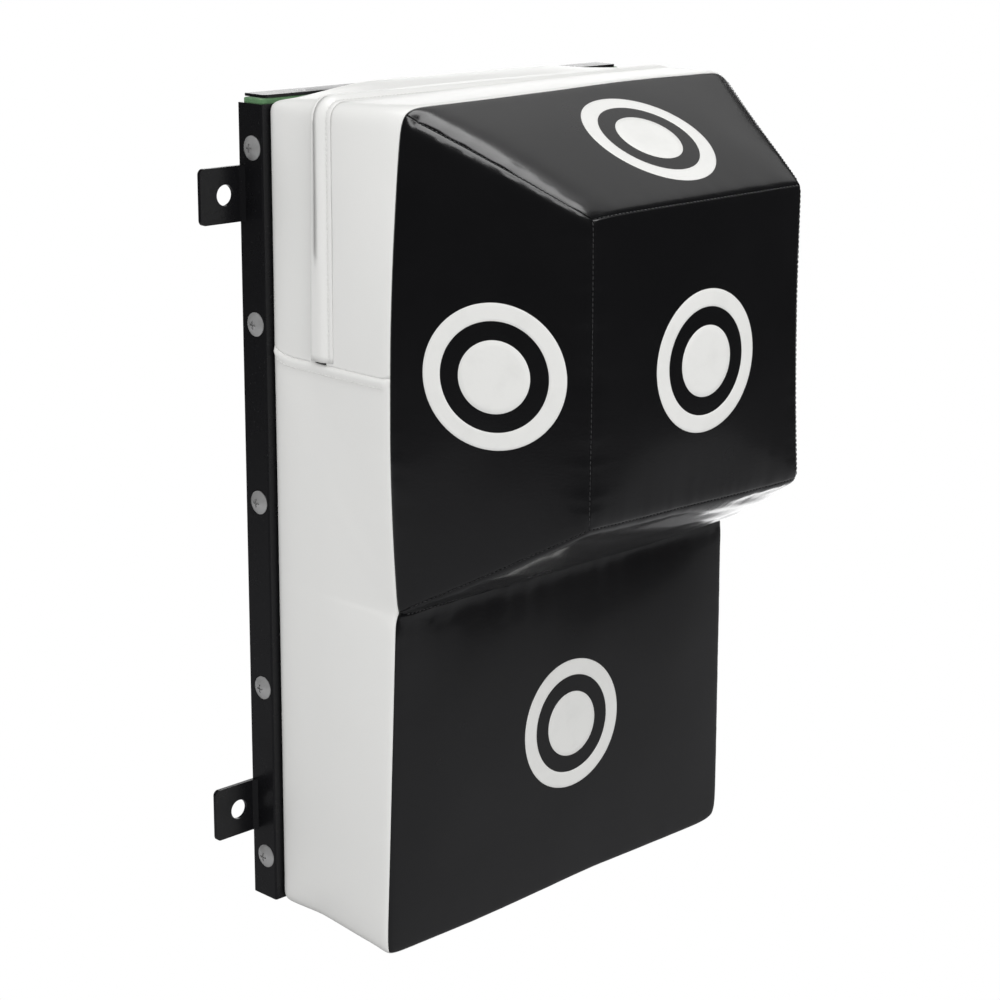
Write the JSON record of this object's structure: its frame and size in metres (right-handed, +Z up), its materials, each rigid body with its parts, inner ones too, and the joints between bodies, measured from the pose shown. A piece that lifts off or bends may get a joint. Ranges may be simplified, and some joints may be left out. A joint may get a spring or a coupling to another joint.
{
  "type": "wall punch pad",
  "caption": "Wall-mounted padded striking pad with an angled head block for uppercuts and hooks, printed round targets, a zipped cover and a steel frame with lugs for wall bolts.",
  "frame": {"origin": "centre of the four wall-bolt holes, in the wall plane", "axes": "+Z up, +Y into the wall, -Y out towards the boxer, +X to the right as the boxer faces the pad"},
  "size_m": [0.45, 0.2715, 0.6096],
  "materials": {
    "black_frame_paint": "gloss",
    "zinc_screws": "satin",
    "plywood": "matte",
    "green_tarpaulin": "satin",
    "staple_wire": "satin",
    "foam": "matte",
    "white_cover": "satin",
    "black_cover": "gloss",
    "back_cloth": "matte",
    "white_print": "satin",
    "zip_tape": "matte",
    "zip_coil": "satin",
    "zip_metal": "satin"
  },
  "bodies": {
    "pad": {"backing_board": "plywood", "backing_wrap": "green_tarpaulin", "bottom_strip": "black_frame_paint", "bottom_strip_screws": "zinc_screws", "cover_back_panel": "back_cloth", "front_foam_slab": "foam", "front_target_disc": "white_print", "front_target_ring": "white_print", "head_foam": "foam", "head_front_panel": "black_cover", "head_left_panel": "black_cover", "head_right_panel": "black_cover", "head_top_panel": "black_cover", "head_underside_panel": "black_cover", "left_side_angle": "black_frame_paint", "left_side_screws": "zinc_screws", "left_target_disc": "white_print", "left_target_ring": "white_print", "lower_front_panel": "black_cover", "lower_side_band": "white_cover", "lower_target_disc": "white_print", "lower_target_ring": "white_print", "lug_welds": "black_frame_paint", "rear_foam_slab": "foam", "right_side_angle": "black_frame_paint", "right_side_screws": "zinc_screws", "right_target_disc": "white_print", "right_target_ring": "white_print", "top_strip": "black_frame_paint", "top_strip_screws": "zinc_screws", "top_target_disc": "white_print", "top_target_ring": "white_print", "upper_front_band": "white_cover", "upper_rear_band": "white_cover", "wall_lug_lower_left": "black_frame_paint", "wall_lug_lower_right": "black_frame_paint", "wall_lug_upper_left": "black_frame_paint", "wall_lug_upper_right": "black_frame_paint", "wrap_staples": "staple_wire", "zip_coil_front": "zip_coil", "zip_coil_rear": "zip_coil", "zip_flap": "white_cover", "zip_stops": "zip_metal", "zip_tapes": "zip_tape"},
    "slider": {"zip_pull": "zip_metal", "zip_slider": "zip_metal"}
  },
  "joints": [
    {"name": "zip_slide", "type": "slide", "parent": "pad", "child": "slider", "axis": [0, 0, 1], "range_m": [0, 0.135]}
  ]
}
